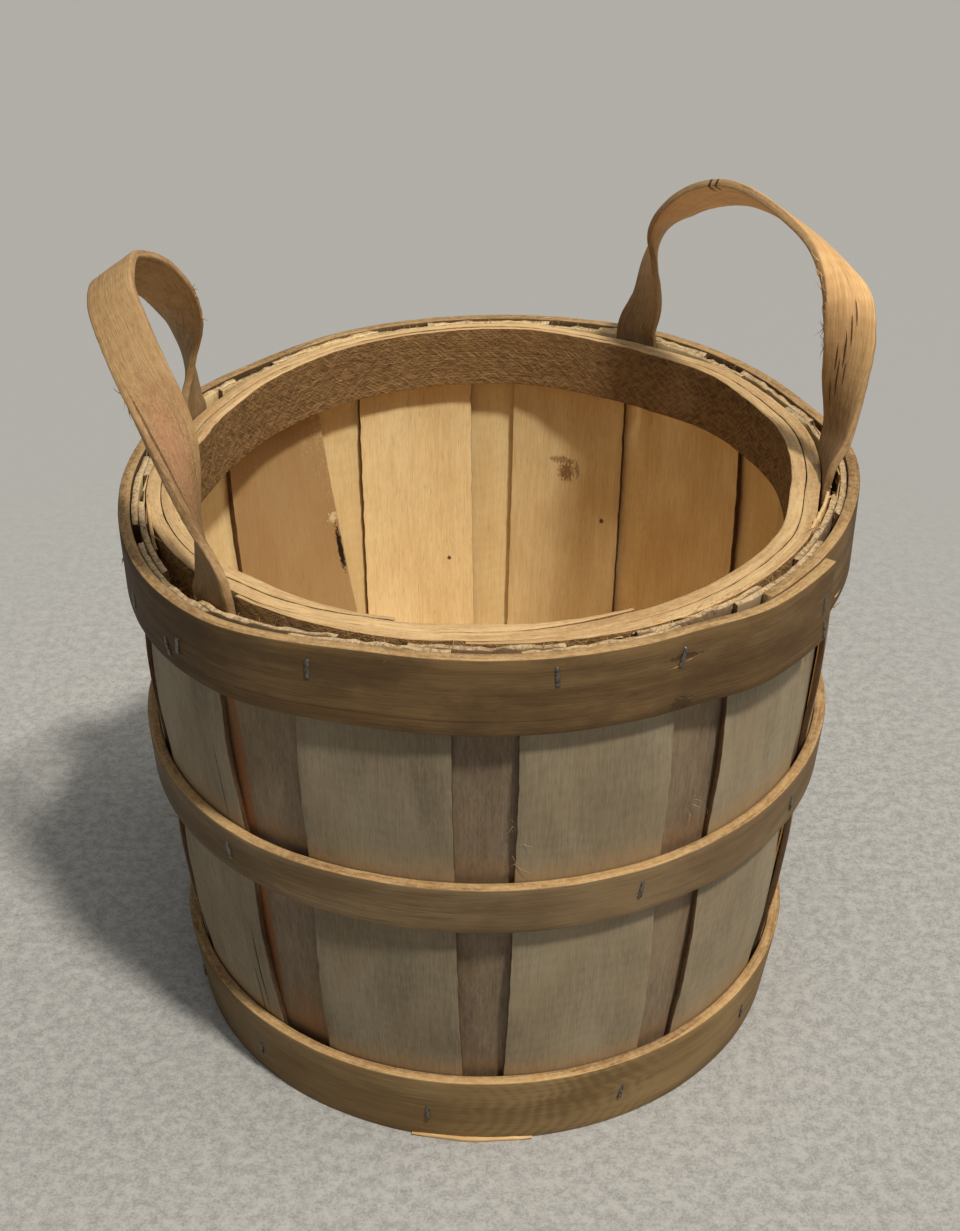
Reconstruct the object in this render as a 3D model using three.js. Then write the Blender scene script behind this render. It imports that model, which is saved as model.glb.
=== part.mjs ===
// A peck basket of wood splints. Two layers of upright staves are held between bent hoops, round
// a solid bottom board, and two loop handles of twisted bentwood stand in the slot behind the
// inner hoop. Millimetres, +Z up, origin at the centre of the foot. Azimuths are in degrees from
// the front (-Y) and grow towards +X.
import * as THREE from 'three';

// The basket's body
const rimLevel = 226;
const rimRadius = 130;
const footRadius = 114;
const clearance = 0.3;

// How far the rim has settled out of level, and where it stands out of round. A swell stands out
// (or in, below zero) at its centre, and runs out over so many degrees to each side.
const rimRise = 3.2;
const nearLeftPush = 8;
const rightFrontPush = 2.4;
const rightBackTuck = 4.8;
const leftTuck = 2.3;
const leftBackTuck = 3.4;
const legSwell = { centre: -41, height: nearLeftPush, before: 40, after: 26 };
const roundSwells = [
  { centre: 28, height: rightFrontPush, before: 45, after: 45 },
  { centre: 112, height: -rightBackTuck, before: 24, after: 45 },
  { centre: -98, height: -leftTuck, before: 30, after: 30 },
  { centre: -132, height: -leftBackTuck, before: 24, after: 26 },
];
const wallSwells = [legSwell, ...roundSwells];

// Staves: flat splints of one width, the inner layer covering the gaps of the outer one
const staveCount = 11;
const outerStaveWidth = 52.5;
const innerStaveWidth = 50;
const staveThickness = 2.2;
const staveTopDrop = 0.8;
const staveFootLift = 0.5;

// How far some staves were set off the regular pitch, in degrees, by their place in the ring
const outerStaveTurns = { 9: -3.5 };
const innerStaveTurns = { 4: 4.5, 6: -1.8, 7: -1.5 };

// Outer hoops: one strip each, its end lapped over its start
const hoopThickness = 4.3;
const rimHoopHeight = 29.5;
const middleHoopHeight = 20;
const middleHoopLevel = 111.5;
const footHoopHeight = 33;
const lapLength = 31;
const lapRun = 34;
const rimLapAzimuth = 56;
const middleLapAzimuth = 205;
const footLapAzimuth = 160;

// Inner hoop: two plies bent together, thinner at the back, their scarfed ends lapped in front
const innerHoopHeight = 25;
const plyFrontThickness = 5.1;
const outerPlyBackThickness = 3.1;
const innerPlyBackThickness = 1.7;
const plyFeatherThickness = 1.4;
const plyTopDrop = 0.4;
const scarfLength = 66;
const scarfLead = 22;
const outerPlyStart = -3;
const outerPlyEnd = 384;
const innerPlyStart = -41;
const innerPlyEnd = 345;

// Bottom board
const boardThickness = 9.5;
const boardLevel = 9;

// Handles: one strip each, both ends twisted to lie flat in the slot behind the inner hoop
const stripWidth = 17.7;
const stripThickness = 3.2;
const legDepth = 22;
const legRise = 5;
const slotRun = 46;
const slotMargin = 1.2;
const loopHeight = 81;
const rightLoopLean = 10.2;
const leftLoopLean = 26.5;

const handles = [
  {
    name: 'right_handle',
    azimuth: 116.25,
    halfAngle: 33.75,
    loopLean: rightLoopLean,
    crownDroop: 38,
    loopShares: [
      [-0.964, 0.197], [-0.974, 0.397], [-0.916, 0.576], [-0.704, 0.755], [-0.454, 0.882], [-0.137, 0.97],
      [0.166, 0.987], [0.462, 0.946], [0.721, 0.885], [0.876, 0.764], [0.934, 0.604], [0.954, 0.404],
      [0.975, 0.183],
    ],
    leanShares: [0.25, 0.41, 0.53, 0.61, 0.78, 0.95, 1, 0.92, 0.66, 0.66, 0.67, 0.55, 0.4],
  },
  {
    name: 'left_handle',
    azimuth: -76.5,
    halfAngle: 33.5,
    loopLean: leftLoopLean,
    crownDroop: 32,
    loopShares: [
      [-0.917, 0.25], [-0.889, 0.432], [-0.799, 0.616], [-0.684, 0.735], [-0.521, 0.844], [-0.318, 0.932],
      [-0.103, 1.01], [0.112, 1.045], [0.286, 1.004], [0.456, 0.919], [0.633, 0.771], [0.844, 0.579],
      [1.006, 0.387], [1.042, 0.192],
    ],
    leanShares: [0.08, 0.18, 0.3, 0.45, 0.66, 0.85, 1, 0.98, 0.87, 0.59, 0.31, 0.11, 0.04, -0.01],
  },
];

// Facets
const hoopStepAngle = 4;
const staveColumns = 6;
const boardSides = 66;
const handleSteps = 64;

const radians = THREE.MathUtils.degToRad;
const fullTurn = 360;
const quarterTurn = 90;
const halfTurn = 180;

// Finishes
const finish = (color, roughness = 0.8, metalness = 0) =>
  new THREE.MeshStandardMaterial({ color, roughness, metalness });
const staveWood = finish(0xb9a480);
const innerStaveWood = finish(0xcaa66a);
const hoopWood = finish(0xb58c55);
const innerHoopWood = finish(0xa98150);
const boardWood = finish(0xc9b085);
const handleWood = finish(0xb98d63, 0.7);

const smooth = (share) => THREE.MathUtils.smoothstep(share, 0, 1);

// Place at an azimuth, a radius and a level
function at(azimuth, radius, level) {
  const angle = radians(azimuth - quarterTurn);
  return new THREE.Vector3(radius * Math.cos(angle), radius * Math.sin(angle), level);
}

// The angle that an arc takes at the rim
const arcAngle = (length) => THREE.MathUtils.radToDeg(length / rimRadius);

// Outside of the outer staves: upright at the rim and drawn in towards the foot
function wallRadius(level) {
  const dropShare = 1 - level / rimLevel;
  return rimRadius - (rimRadius - footRadius) * dropShare * dropShare;
}

const innerStaveDepth = staveThickness + clearance;
const wallDepth = innerStaveDepth + staveThickness;

// A bent sheet from two grids of points, one for each face. Rows run along the first index.
// The outer grid lies where (columns direction) x (rows direction) points.
function sheet(outer, inner) {
  const rows = outer.length;
  const columns = outer[0].length;
  const positions = [];
  for (const grid of [outer, inner]) {
    for (const row of grid) {
      for (const point of row) positions.push(point.x, point.y, point.z);
    }
  }
  const out = (row, column) => row * columns + column;
  const back = (row, column) => rows * columns + row * columns + column;
  const indices = [];
  const quad = (a, b, c, d) => indices.push(a, b, c, a, c, d);
  for (let row = 0; row < rows - 1; row += 1) {
    for (let column = 0; column < columns - 1; column += 1) {
      quad(out(row, column), out(row, column + 1), out(row + 1, column + 1), out(row + 1, column));
      quad(back(row, column), back(row + 1, column), back(row + 1, column + 1), back(row, column + 1));
    }
    const last = columns - 1;
    quad(out(row, last), back(row, last), back(row + 1, last), out(row + 1, last));
    quad(out(row, 0), out(row + 1, 0), back(row + 1, 0), back(row, 0));
  }
  for (let column = 0; column < columns - 1; column += 1) {
    const top = rows - 1;
    quad(out(0, column), back(0, column), back(0, column + 1), out(0, column + 1));
    quad(out(top, column), out(top, column + 1), back(top, column + 1), back(top, column));
  }
  const geometry = new THREE.BufferGeometry();
  geometry.setAttribute('position', new THREE.Float32BufferAttribute(positions, 3));
  geometry.setIndex(indices);
  geometry.computeVertexNormals();
  return geometry;
}

// How far all the swells together stand out at an azimuth
function swellAt(azimuth, swells) {
  return swells.reduce((sum, { centre, height, before, after }) => {
    const turn = THREE.MathUtils.euclideanModulo(azimuth - centre + halfTurn, fullTurn) - halfTurn;
    return sum + height * (1 - smooth(turn < 0 ? -turn / before : turn / after));
  }, 0);
}

// The rim isn't level or quite round: it rises towards +X and has swells. All that is below it and
// above it goes with it, but the inner hoop stays straight behind the leg that pushes the wall out.
function settle(geometry, swells) {
  const places = geometry.attributes.position;
  for (let index = 0; index < places.count; index += 1) {
    const [x, y, z] = [places.getX(index), places.getY(index), places.getZ(index)];
    const angle = Math.atan2(x, -y);
    const heightShare = Math.min(1, z / rimLevel) ** 3;
    const out = swellAt(THREE.MathUtils.radToDeg(angle), swells) * heightShare;
    places.setX(index, x + out * Math.sin(angle));
    places.setY(index, y - out * Math.cos(angle));
    places.setZ(index, z + rimRise * x / rimRadius * z / rimLevel);
  }
  return geometry;
}

function mesh(name, geometry, material, swells = wallSwells) {
  const piece = new THREE.Mesh(settle(geometry, swells), material);
  piece.name = name;
  return piece;
}

// Levels where a stave's face bends: at each hoop's edges and halfway between hoops
const middleHoopTop = middleHoopLevel + middleHoopHeight;
const rimHoopLevel = rimLevel - rimHoopHeight;
const staveLevels = [
  staveFootLift,
  footHoopHeight,
  (footHoopHeight + middleHoopLevel) / 2,
  middleHoopLevel,
  middleHoopTop,
  (middleHoopTop + rimHoopLevel) / 2,
  rimHoopLevel,
  rimLevel - staveTopDrop,
];

// One stave: its width stays the same, so it takes a wider angle where the wall is drawn in
function stave(azimuth, width, depth) {
  const face = (inset) => staveLevels.map((level) => {
    const radius = wallRadius(level) - inset;
    const halfAngle = THREE.MathUtils.radToDeg(width / 2 / radius);
    const row = [];
    for (let column = 0; column <= staveColumns; column += 1) {
      const share = 2 * column / staveColumns - 1;
      row.push(at(azimuth + halfAngle * share, radius, level));
    }
    return row;
  });
  return sheet(face(depth), face(depth + staveThickness));
}

function staves() {
  const group = new THREE.Group();
  const pitch = fullTurn / staveCount;
  for (let index = 0; index < staveCount; index += 1) {
    const number = String(index + 1).padStart(2, '0');
    const outerAzimuth = (index + 1 / 2) * pitch + (outerStaveTurns[index] ?? 0);
    group.add(mesh(`outer_stave_${number}`, stave(outerAzimuth, outerStaveWidth, 0), staveWood));
    const innerAzimuth = index * pitch + (innerStaveTurns[index] ?? 0);
    const inner = stave(innerAzimuth, innerStaveWidth, innerStaveDepth);
    group.add(mesh(`inner_stave_${number}`, inner, innerStaveWood));
  }
  return group;
}

// Azimuths of a strip's sections: the two ends, shared regular steps, and any extra places
function stations(start, end, extra = []) {
  const places = [start, end, ...extra];
  const first = Math.ceil(start / hoopStepAngle) * hoopStepAngle;
  for (let azimuth = first; azimuth < end; azimuth += hoopStepAngle) {
    const near = places.some((place) => Math.abs(place - azimuth) < hoopStepAngle / 4);
    if (!near) places.push(azimuth);
  }
  return places.sort((a, b) => a - b);
}

// A bent strip from an outer radius and a thickness at each azimuth, between two levels
function strip(azimuths, lower, upper, outerRadius, thickness) {
  const face = (inset) => [lower, upper].map((level) =>
    azimuths.map((azimuth) => at(azimuth, outerRadius(azimuth, level) - inset(azimuth), level)));
  return sheet(face(() => 0), face(thickness));
}

// Outer hoop: its start lies on the staves, and its end steps out over it
function outerHoop(lower, height, lapAzimuth) {
  const start = lapAzimuth - arcAngle(lapLength);
  const end = fullTurn + lapAzimuth;
  const stepOut = fullTurn + start;
  const lapRunAngle = arcAngle(lapRun);
  const radius = (azimuth, level) => {
    const lift = smooth((azimuth - stepOut + lapRunAngle) / lapRunAngle);
    return wallRadius(level) + clearance + hoopThickness + lift * (hoopThickness + clearance);
  };
  return strip(stations(start, end, [stepOut]), lower, lower + height, radius, () => hoopThickness);
}

// The slot that the handles' legs stand in: the inner hoop bulges inwards round each leg, unless
// the wall gives way there
const legSag = Math.hypot(rimRadius, stripWidth / 2) - rimRadius;
const slotDepth = stripThickness + 2 * legSag + clearance;
const slotHalfAngle = arcAngle(stripWidth / 2 + slotMargin);
const slotRunAngle = arcAngle(slotRun);
const legAzimuths = handles.flatMap(({ azimuth, halfAngle }) => [azimuth - halfAngle, azimuth + halfAngle]);
const slotLegs = legAzimuths.filter((leg) => swellAt(leg, [legSwell]) < slotDepth);

function slotBulge(azimuth) {
  const nearest = Math.min(...slotLegs.map((leg) => {
    const turn = THREE.MathUtils.euclideanModulo(azimuth - leg + halfTurn, fullTurn) - halfTurn;
    return Math.abs(turn);
  }));
  return slotDepth * (1 - smooth((nearest - slotHalfAngle) / slotRunAngle));
}

// Thickness of a ply before its ends are scarfed: full in the front half, thinner at the back
function plyBody(azimuth, backThickness) {
  const turn = THREE.MathUtils.euclideanModulo(azimuth + halfTurn, fullTurn) - halfTurn;
  const frontShare = smooth((halfTurn - Math.abs(turn)) / quarterTurn);
  return backThickness + (plyFrontThickness - backThickness) * frontShare;
}

const scarfAngle = arcAngle(scarfLength);
const scarfLeadAngle = arcAngle(scarfLead);

function ply(start, end, backThickness) {
  const thickness = (azimuth) => {
    const scarf = smooth(Math.min(azimuth - start, end - azimuth) / scarfAngle);
    return plyFeatherThickness + (plyBody(azimuth, backThickness) - plyFeatherThickness) * scarf;
  };
  // How far this ply pushes inwards whatever is wound inside it
  const lift = (azimuth) => {
    if (azimuth >= start) return thickness(azimuth) + clearance;
    const leadShare = smooth(1 - (start - azimuth) / scarfLeadAngle);
    return leadShare * (plyFeatherThickness + clearance);
  };
  return { start, end, thickness, lift };
}

const outerPly = ply(outerPlyStart, outerPlyEnd, outerPlyBackThickness);
const innerPly = ply(innerPlyStart, innerPlyEnd, innerPlyBackThickness);
const hoopSeatInset = wallDepth + clearance;

// What both plies' starts take where the strip comes round again inside them
function lapLift(azimuth) {
  const turnedBack = azimuth - fullTurn;
  return outerPly.lift(turnedBack) + innerPly.lift(turnedBack);
}

function innerHoopPly(own, isInside) {
  const radius = (azimuth, level) => {
    const seat = wallRadius(level) - hoopSeatInset - slotBulge(azimuth) - lapLift(azimuth);
    return isInside ? seat - outerPly.lift(azimuth) : seat;
  };
  const upper = rimLevel - plyTopDrop;
  const azimuths = stations(own.start, own.end);
  return strip(azimuths, upper - innerHoopHeight, upper, radius, own.thickness);
}

// Bottom board: a disc inside the foot of the inner staves, its rim cut to the wall's slope
function bottomBoard() {
  const seat = (level) => wallRadius(level) - wallDepth - clearance;
  const lowerRadius = seat(boardLevel);
  const upperRadius = seat(boardLevel + boardThickness);
  const geometry = new THREE.CylinderGeometry(upperRadius, lowerRadius, boardThickness, boardSides);
  geometry.rotateX(Math.PI / 2);
  geometry.translate(0, 0, boardLevel + boardThickness / 2);
  return geometry;
}

// Loop handle: the strip's middle line, and the turn of its width along that line
const legRadius = rimRadius - hoopSeatInset - 2 * legSag - stripThickness / 2;

function loopHandle({ azimuth, halfAngle, loopLean, crownDroop, loopShares, leanShares }) {
  const legs = [azimuth - halfAngle, azimuth + halfAngle];
  const ends = legs.map((leg) => at(leg, legRadius, rimLevel));
  const halfSpan = ends[0].distanceTo(ends[1]) / 2;
  const middle = ends[0].clone().add(ends[1]).divideScalar(2);
  const along = ends[0].clone().sub(ends[1]).normalize();
  const outwards = at(azimuth, 1, 0);
  const loop = loopShares.map(([spanShare, heightShare], index) => middle.clone()
    .addScaledVector(along, spanShare * halfSpan)
    .addScaledVector(outwards, leanShares[index] * loopLean)
    .setZ(rimLevel + heightShare * loopHeight));
  const leg = (angle) => [-legDepth, -legDepth / 2, 0, legRise]
    .map((rise) => at(angle, legRadius, rimLevel + rise));
  const line = new THREE.CatmullRomCurve3([...leg(legs[1]), ...loop, ...leg(legs[0]).reverse()]);
  const points = line.getSpacedPoints(handleSteps);
  const crown = points.reduce((best, point, index) => (point.z > points[best].z ? index : best), 0);
  const outer = [];
  const inner = [];
  points.forEach((point, index) => {
    const direction = line.getTangentAt(index / handleSteps);
    const riseShare = THREE.MathUtils.clamp((point.z - rimLevel) / loopHeight, 0, 1);
    const side = index < crown ? 1 : -1;
    const turn = side * (1 - riseShare) * (quarterTurn + halfAngle);
    const across = at(azimuth + turn, 1, -riseShare * Math.tan(radians(crownDroop)));
    across.addScaledVector(direction, -across.dot(direction)).normalize();
    const through = new THREE.Vector3().crossVectors(across, direction);
    const edge = (width, depth) => point.clone()
      .addScaledVector(across, width * stripWidth / 2)
      .addScaledVector(through, depth * stripThickness / 2);
    outer.push([edge(-1, 1), edge(1, 1)]);
    inner.push([edge(-1, -1), edge(1, -1)]);
  });
  return sheet(outer, inner);
}

const basket = new THREE.Group();
basket.name = 'peck_basket';
basket.add(staves());
basket.add(mesh('rim_hoop', outerHoop(rimHoopLevel, rimHoopHeight, rimLapAzimuth), hoopWood));
const middleHoop = outerHoop(middleHoopLevel, middleHoopHeight, middleLapAzimuth);
basket.add(mesh('middle_hoop', middleHoop, hoopWood));
basket.add(mesh('foot_hoop', outerHoop(0, footHoopHeight, footLapAzimuth), hoopWood));
basket.add(mesh('inner_hoop_outer_ply', innerHoopPly(outerPly, false), innerHoopWood, roundSwells));
basket.add(mesh('inner_hoop_inner_ply', innerHoopPly(innerPly, true), innerHoopWood, roundSwells));
basket.add(mesh('bottom_board', bottomBoard(), boardWood));
for (const handle of handles) basket.add(mesh(handle.name, loopHandle(handle), handleWood));

export default basket;
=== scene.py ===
"""A peck basket of wood splints, as it stands on a counter: upright staves in two layers, bent
hoops round them, a thick two-ply hoop inside the rim, two twisted loop handles and wire staples.
Metres, +Z up. Azimuths are in degrees from the front (-Y) and grow towards +X.
"""
import random
from math import atan2, copysign, cos, degrees, hypot, radians, sin, sqrt, tan

import bmesh
import bpy
from mathutils import Matrix, Vector, noise


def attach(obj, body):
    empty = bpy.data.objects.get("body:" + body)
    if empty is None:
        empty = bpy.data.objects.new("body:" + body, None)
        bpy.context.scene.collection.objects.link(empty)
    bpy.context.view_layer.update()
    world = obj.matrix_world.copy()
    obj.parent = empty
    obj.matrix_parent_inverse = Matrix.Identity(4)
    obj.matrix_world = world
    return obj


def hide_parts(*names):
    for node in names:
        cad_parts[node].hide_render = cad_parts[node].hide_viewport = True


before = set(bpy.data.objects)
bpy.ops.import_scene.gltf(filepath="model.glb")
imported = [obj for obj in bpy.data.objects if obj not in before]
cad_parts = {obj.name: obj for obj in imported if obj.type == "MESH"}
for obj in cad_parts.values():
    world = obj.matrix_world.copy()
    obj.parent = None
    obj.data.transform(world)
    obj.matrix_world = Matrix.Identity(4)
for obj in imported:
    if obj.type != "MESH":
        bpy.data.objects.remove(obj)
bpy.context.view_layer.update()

# Camera
# A phone held a little over half a metre in front of the basket, above its rim, looking down.
camera_place = (0, -0.6305, 0.5483)
camera_pitch = 31.74
camera_turn = 0.22
camera_roll = 0.27
photo_height = 1231
photo_focal_length = 1924

camera_data = bpy.data.cameras.new("camera")
camera_data.lens = camera_data.sensor_width * photo_focal_length / photo_height
camera = bpy.data.objects.new("camera", camera_data)
camera.matrix_world = (
    Matrix.Translation(camera_place)
    @ Matrix.Rotation(radians(camera_turn), 4, "Z")
    @ Matrix.Rotation(radians(90 - camera_pitch), 4, "X")
    @ Matrix.Rotation(radians(camera_roll), 4, "Z")
)
bpy.context.scene.collection.objects.link(camera)
bpy.context.scene.camera = camera
bpy.context.scene.view_settings.view_transform = "Standard"

# Bottom board
# A solid disc of plain-sawn wood inside the foot, nailed through the staves. Only its top shows,
# from above. The wall that it stands in sets the place of every other piece.
rim_level = 0.226
rim_radius = 0.13
foot_radius = 0.114
rim_rise = 0.0032
near_left_push = 0.008
right_front_push = 0.0024
right_back_tuck = 0.0048
left_tuck = 0.0023
left_back_tuck = 0.0034
clearance = 0.0003
stave_thickness = 0.0022
wall_depth = 2 * stave_thickness + clearance
board_level = 0.009
board_thickness = 0.0095
board_corner = 0.0008

# Where the rim stands out of round: centre, how far out, and over how many degrees to each side
leg_swell = (-41, near_left_push, 40, 26)
round_swells = (
    (28, right_front_push, 45, 45),
    (112, -right_back_tuck, 24, 45),
    (-98, -left_tuck, 30, 30),
    (-132, -left_back_tuck, 24, 26),
)
wall_swells = (leg_swell, *round_swells)


def wall_radius(level):
    """Outside of the outer staves: upright at the rim and drawn in towards the foot."""
    drop = 1 - level / rim_level
    return rim_radius - (rim_radius - foot_radius) * drop * drop


def smooth(share):
    share = min(1, max(0, share))
    return share * share * (3 - 2 * share)


def swell_at(azimuth, swells):
    total = 0
    for centre, height, before, after in swells:
        turn = (azimuth - centre + 180) % 360 - 180
        total += height * (1 - smooth(-turn / before if turn < 0 else turn / after))
    return total


def settle(point, swells=wall_swells):
    """The rim rises to the right and isn't quite round, and all that it holds goes with it."""
    x, y, z = point
    angle = atan2(x, -y)
    out = swell_at(degrees(angle), swells) * min(1, z / rim_level) ** 3
    rise = rim_rise * x / rim_radius * z / rim_level
    return Vector((x + out * sin(angle), y - out * cos(angle), z + rise))


def unsettled(azimuth, radius, level):
    angle = radians(azimuth)
    return Vector((radius * sin(angle), -radius * cos(angle), level))


def at(azimuth, radius, level, swells=wall_swells):
    return settle(unsettled(azimuth, radius, level), swells)


def srgb(red, green, blue):
    """A colour as the eye names it, 0 to 255, made linear."""
    shares = [channel / 255 for channel in (red, green, blue)]
    return tuple(s / 12.92 if s <= 0.04045 else ((s + 0.055) / 1.055) ** 2.4 for s in shares) + (1,)


def ripple(*place):
    """Smooth chance, from about -1 to 1, that changes with the place."""
    return noise.noise(Vector(place))


def feed(tree, node, values):
    """Joins or sets a node's inputs."""
    for key, value in values.items():
        if isinstance(value, bpy.types.NodeSocket):
            tree.links.new(value, node.inputs[key])
        else:
            node.inputs[key].default_value = value


def wire(tree, kind, values=None, **settings):
    """Adds a shader node, sets it up and feeds it. Gives what it puts out."""
    made = tree.nodes.new(kind)
    for key, value in settings.items():
        setattr(made, key, value)
    feed(tree, made, values or {})
    return made.outputs


def new_group(name, takes, gives):
    """An empty node group, and what comes into it. takes, gives: the sockets' names by their kind."""
    group = bpy.data.node_groups.new(name, "ShaderNodeTree")
    for direction, kinds in (("INPUT", takes), ("OUTPUT", gives)):
        for kind, names in kinds.items():
            for socket in names.split(", "):
                group.interface.new_socket(socket, in_out=direction, socket_type=f"NodeSocket{kind}")
    return group, group.nodes.new("NodeGroupInput").outputs


def put_out(group, values):
    feed(group, group.nodes.new("NodeGroupOutput"), values)


def ramp(tree, fac, low, high):
    """0 below low, 1 above high, eased between."""
    return wire(tree, "ShaderNodeMapRange", {"Value": fac, "From Min": low, "From Max": high},
                interpolation_type="SMOOTHSTEP")["Result"]


def stretched_noise(tree, place, scale, detail=4.0, roughness=0.55, distortion=0.0):
    """Noise drawn out along the grain: the scale is per metre along, across and through."""
    mapping = wire(tree, "ShaderNodeMapping", {"Vector": place, "Scale": scale})
    return wire(tree, "ShaderNodeTexNoise", {
        "Vector": mapping["Vector"], "Scale": 1.0, "Detail": detail,
        "Roughness": roughness, "Distortion": distortion,
    })["Fac"]


def mix(tree, factor, first, second):
    return wire(tree, "ShaderNodeMix", {0: factor, 6: first, 7: second}, data_type="RGBA")[2]


def calc(tree, operation, first, second=0.0, third=0.0):
    return wire(tree, "ShaderNodeMath", {0: first, 1: second, 2: third}, operation=operation)[0]


def times(tree, first, second, plus=None):
    """first times second, plus a third value where one is given."""
    if plus is None:
        return calc(tree, "MULTIPLY", first, second)
    return calc(tree, "MULTIPLY_ADD", first, second, plus)


# Sliced wood: soft clouds, faint streaks and fine fibres along the grain, and the arched figure where
# the splint was cut flat to the rings
rings_per_metre = 190.0
arch_per_metre = 60.0
cloud_bend = 4.0
ring_phase = 6.283

grain, given = new_group(
    "wood_grain",
    {"Vector": "Place", "Color": "Pale, Dark, Pore", "Float": "Clouds, Streaks, Fibres, Pores, Figure, Arch"},
    {"Color": "Color", "Float": "Height, Roughness"},
)
clouds = stretched_noise(grain, given["Place"], (16, 38, 90), 3.0, 0.55, 0.4)
streaks = stretched_noise(grain, given["Place"], (9, 230, 300), 4.0, 0.6)
fibres = stretched_noise(grain, given["Place"], (75, 1500, 1100), 3.0, 0.65)
pore = ramp(grain, stretched_noise(grain, given["Place"], (140, 2300, 1800), 2.0, 0.5), 0.63, 0.74)
saw = stretched_noise(grain, given["Place"], (1300, 60, 60), 2.0, 0.6)
ways = wire(grain, "ShaderNodeSeparateXYZ", {0: given["Place"]})
arch = calc(grain, "POWER", times(grain, ways["Y"], arch_per_metre), 2.0)
arch = times(grain, arch, given["Arch"])
rings = times(grain, ways["X"], rings_per_metre, arch)
rings = times(grain, clouds, cloud_bend, rings)
rings = calc(grain, "SINE", times(grain, rings, ring_phase))
rings = times(grain, rings, 0.5, 0.5)
shade = 0.5
for share, socket in ((clouds, "Clouds"), (streaks, "Streaks"), (fibres, "Fibres"), (rings, "Figure")):
    swing = times(grain, calc(grain, "SUBTRACT", share, 0.5), given[socket])
    shade = times(grain, swing, 3.0, shade)
shade = ramp(grain, shade, 0.0, 1.0)
pore_share = times(grain, pore, given["Pores"])
height = times(grain, fibres, 0.6, times(grain, streaks, 0.3))
height = times(grain, saw, 0.12, height)
put_out(grain, {
    "Color": mix(grain, pore_share, mix(grain, shade, given["Pale"], given["Dark"]), given["Pore"]),
    "Height": times(grain, pore_share, -0.4, height),
    "Roughness": times(grain, shade, 0.12, 0.66),
})

# Age and painted light: piece-to-piece tone, which on some pieces also carries painted shade, soft patches of
# another tint, and a painted warm light, as of light bounced from the hoops, where the piece asks for it
age_and_light, given = new_group(
    "wood_age_and_light", {"Color": "Color, Patch Color, Stain Color", "Vector": "Place", "Float": "Patches, Contrast"},
    {"Color": "Color"},
)
tone, stain = (wire(age_and_light, "ShaderNodeAttribute", attribute_name=name)["Fac"] for name in ("tone", "stain"))
patch = ramp(age_and_light, stretched_noise(age_and_light, given["Place"], (24, 48, 60), 4.0, 0.65), 0.38, 0.68)
patched = mix(age_and_light, times(age_and_light, patch, given["Patches"]), given["Color"], given["Patch Color"])
swing = times(age_and_light, calc(age_and_light, "SUBTRACT", tone, 0.5), given["Contrast"])
brightness = calc(age_and_light, "ADD", 1.0, swing)
toned = wire(age_and_light, "ShaderNodeVectorMath", {0: patched, "Scale": brightness}, operation="SCALE")
# The painted warm light, with a ragged edge, where the piece asks for it
ragged = stretched_noise(age_and_light, given["Place"], (160, 700, 700), 3.0, 0.6)
painted_bounce_share = times(age_and_light, calc(age_and_light, "SUBTRACT", ragged, 0.5), 0.6, stain)
painted_bounce_share = times(age_and_light, ramp(age_and_light, painted_bounce_share, 0.05, 0.95), ramp(age_and_light, stain, 0.0, 0.12))
put_out(age_and_light, {"Color": mix(age_and_light, painted_bounce_share, toned[0], given["Stain Color"])})

# A spot at one place in the sawn strip: a knot, a crack, a dent
spot, given = new_group("dark_spot", {"Vector": "Place, Centre, Size", "Float": "Ragged"}, {"Float": "Mask"})
off = wire(spot, "ShaderNodeVectorMath", {0: given["Place"], 1: given["Centre"]}, operation="SUBTRACT")
off = wire(spot, "ShaderNodeVectorMath", {0: off[0], 1: given["Size"]}, operation="DIVIDE")
reach = wire(spot, "ShaderNodeVectorMath", {0: off[0]}, operation="LENGTH")["Value"]
torn_edge = stretched_noise(spot, given["Place"], (700, 1300, 1300), 3.0, 0.65)
torn_edge = times(spot, calc(spot, "SUBTRACT", torn_edge, 0.5), given["Ragged"])
reach = times(spot, torn_edge, 4.0, reach)
put_out(spot, {"Mask": calc(spot, "SUBTRACT", 1.0, ramp(spot, reach, 0.55, 1.1))})

# Torn fibres: a rough, hairy surface where the wood was split or sawn across, not sliced
torn, given = new_group("torn_fibres", {"Vector": "Place", "Float": "Slant"}, {"Float": "Height, Mask"})
slants = given["Slant"], times(torn, given["Slant"], -1.0)
crossed = []
for slant, scale in zip(slants, ((150, 1150, 700), (170, 1000, 700))):
    spun = wire(torn, "ShaderNodeVectorRotate", {"Vector": given["Place"], "Axis": (0, 0, 1), "Angle": slant},
                rotation_type="AXIS_ANGLE")
    crossed.append(stretched_noise(torn, spun[0], scale, 4.0, 0.62))
lumps = stretched_noise(torn, given["Place"], (240, 520, 400), 3.0, 0.6)
tufts = times(torn, lumps, 0.5, calc(torn, "MAXIMUM", *crossed))
put_out(torn, {"Height": tufts, "Mask": ramp(torn, tufts, 0.62, 0.98)})


def new_material(name):
    material = bpy.data.materials.new(name)
    material.use_nodes = True
    return material, material.node_tree, material.node_tree.nodes["Principled BSDF"]


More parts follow.
